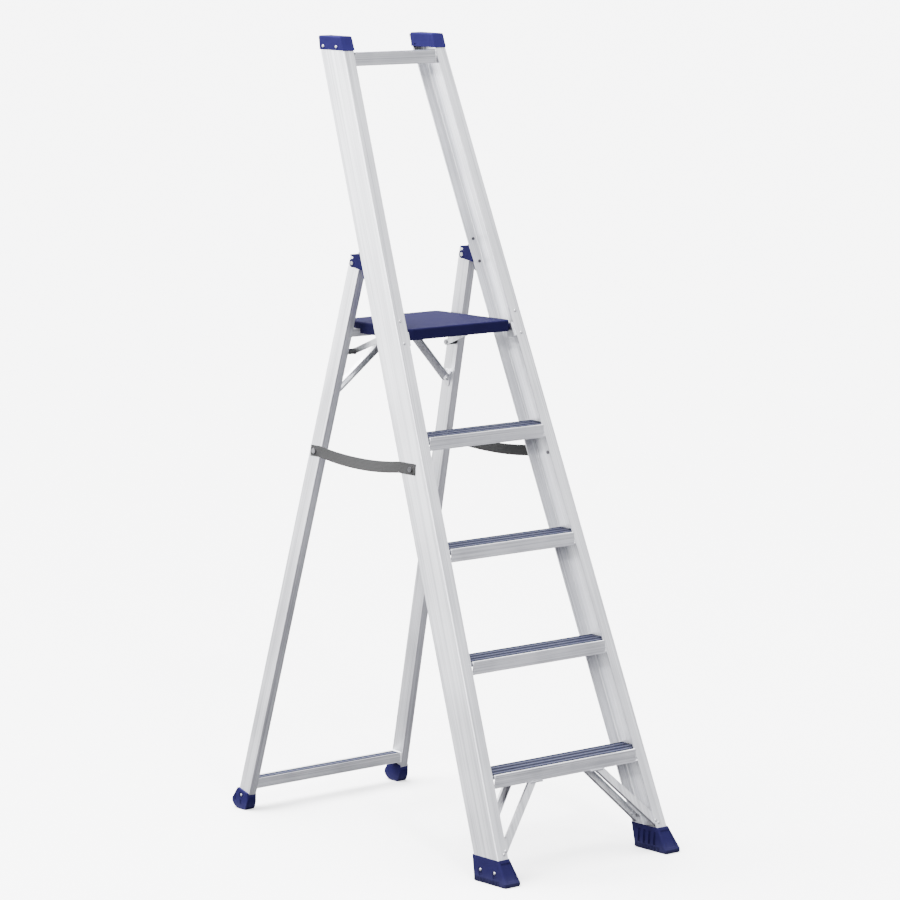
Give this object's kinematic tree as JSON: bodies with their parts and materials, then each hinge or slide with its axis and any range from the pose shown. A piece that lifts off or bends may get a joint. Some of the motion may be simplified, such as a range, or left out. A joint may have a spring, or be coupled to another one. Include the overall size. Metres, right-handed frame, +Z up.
{
  "type": "platform step ladder",
  "caption": "Folding aluminium platform step ladder with flat ribbed treads, a blue standing platform, a high hand rail bar, webbing safety straps and plastic feet.",
  "frame": {"origin": "on the floor, at the middle of the open ladder's footprint", "axes": "+Z up, +Y from the climber's side to the rear legs, X across the ladder, mirror plane at X = 0"},
  "size_m": [0.5362, 0.998, 1.833],
  "materials": {
    "stile_aluminium": "satin extruded",
    "tread_aluminium": "ribbed extruded with a blue grey anodised top",
    "brace_aluminium": "mill finish",
    "steel_bracket": "zinc plated",
    "rivet_steel": "bright rivet",
    "blue_plastic": "fine moulded texture",
    "platform_plastic": "moulded non slip pattern",
    "black_plastic": "satin",
    "strap_webbing": "woven polyester"
  },
  "bodies": {
    "front_frame": {"stile_left": "stile_aluminium", "stile_right": "stile_aluminium", "top_cap_left": "blue_plastic", "top_cap_right": "blue_plastic", "head_bar": "stile_aluminium", "tread_1": "tread_aluminium", "tread_2": "tread_aluminium", "tread_3": "tread_aluminium", "tread_4": "tread_aluminium", "front_foot_left": "blue_plastic", "front_foot_right": "blue_plastic", "hinge_bracket_left": "blue_plastic", "hinge_bracket_right": "blue_plastic", "platform_carrier_left": "steel_bracket", "platform_carrier_right": "steel_bracket", "front_foot_brace_left": "brace_aluminium", "front_foot_brace_right": "brace_aluminium", "rear_foot_brace_left": "brace_aluminium", "rear_foot_brace_right": "brace_aluminium", "strap_left": "strap_webbing", "strap_right": "strap_webbing", "platform_hinge_pins": "rivet_steel", "leg_pivot_rivets": "rivet_steel", "cap_rivets": "rivet_steel", "front_foot_rivets": "rivet_steel", "foot_brace_rivets": "rivet_steel", "bracket_rivets": "rivet_steel", "carrier_rivets": "rivet_steel", "strap_stile_rivets": "rivet_steel"},
    "rear_frame": {"rear_leg_left": "stile_aluminium", "rear_leg_right": "stile_aluminium", "rear_foot_left": "blue_plastic", "rear_foot_right": "blue_plastic", "diagonal_tie_left": "brace_aluminium", "diagonal_tie_right": "brace_aluminium", "upper_rear_bar": "brace_aluminium", "lower_rear_bar": "tread_aluminium", "link_bolts": "rivet_steel", "link_spacers": "black_plastic", "rear_foot_rivets": "rivet_steel", "tie_rivets": "rivet_steel", "strap_leg_rivets": "rivet_steel"},
    "platform": {"platform": "platform_plastic"},
    "link_left": {"platform_link_left": "steel_bracket"},
    "link_right": {"platform_link_right": "steel_bracket"}
  },
  "joints": [
    {"name": "rear_frame_fold", "type": "hinge", "parent": "front_frame", "child": "rear_frame", "pos_m": [0, 0.1405, 1.323], "axis": [-1, 0, 0], "range_deg": [0, 35], "deforming": ["strap_left", "strap_right"]},
    {"name": "platform_fold", "type": "hinge", "parent": "front_frame", "child": "platform", "pos_m": [0, -0.019, 1.169], "axis": [1, 0, 0], "range_deg": [0, 71.5]},
    {"name": "link_turn_left", "type": "hinge", "parent": "rear_frame", "child": "link_left", "pos_m": [-0.1395, 0.18022, 1.114], "axis": [-1, 0, 0], "range_deg": [0, 16]},
    {"name": "link_turn_right", "type": "hinge", "parent": "rear_frame", "child": "link_right", "pos_m": [0.1395, 0.18022, 1.114], "axis": [-1, 0, 0], "range_deg": [0, 16]}
  ],
  "couplings": [
    {"joint": "platform_fold", "follows": "rear_frame_fold", "ratio": 2.037},
    {"joint": "link_turn_left", "follows": "rear_frame_fold", "ratio": 0.454},
    {"joint": "link_turn_right", "follows": "rear_frame_fold", "ratio": 0.454}
  ]
}
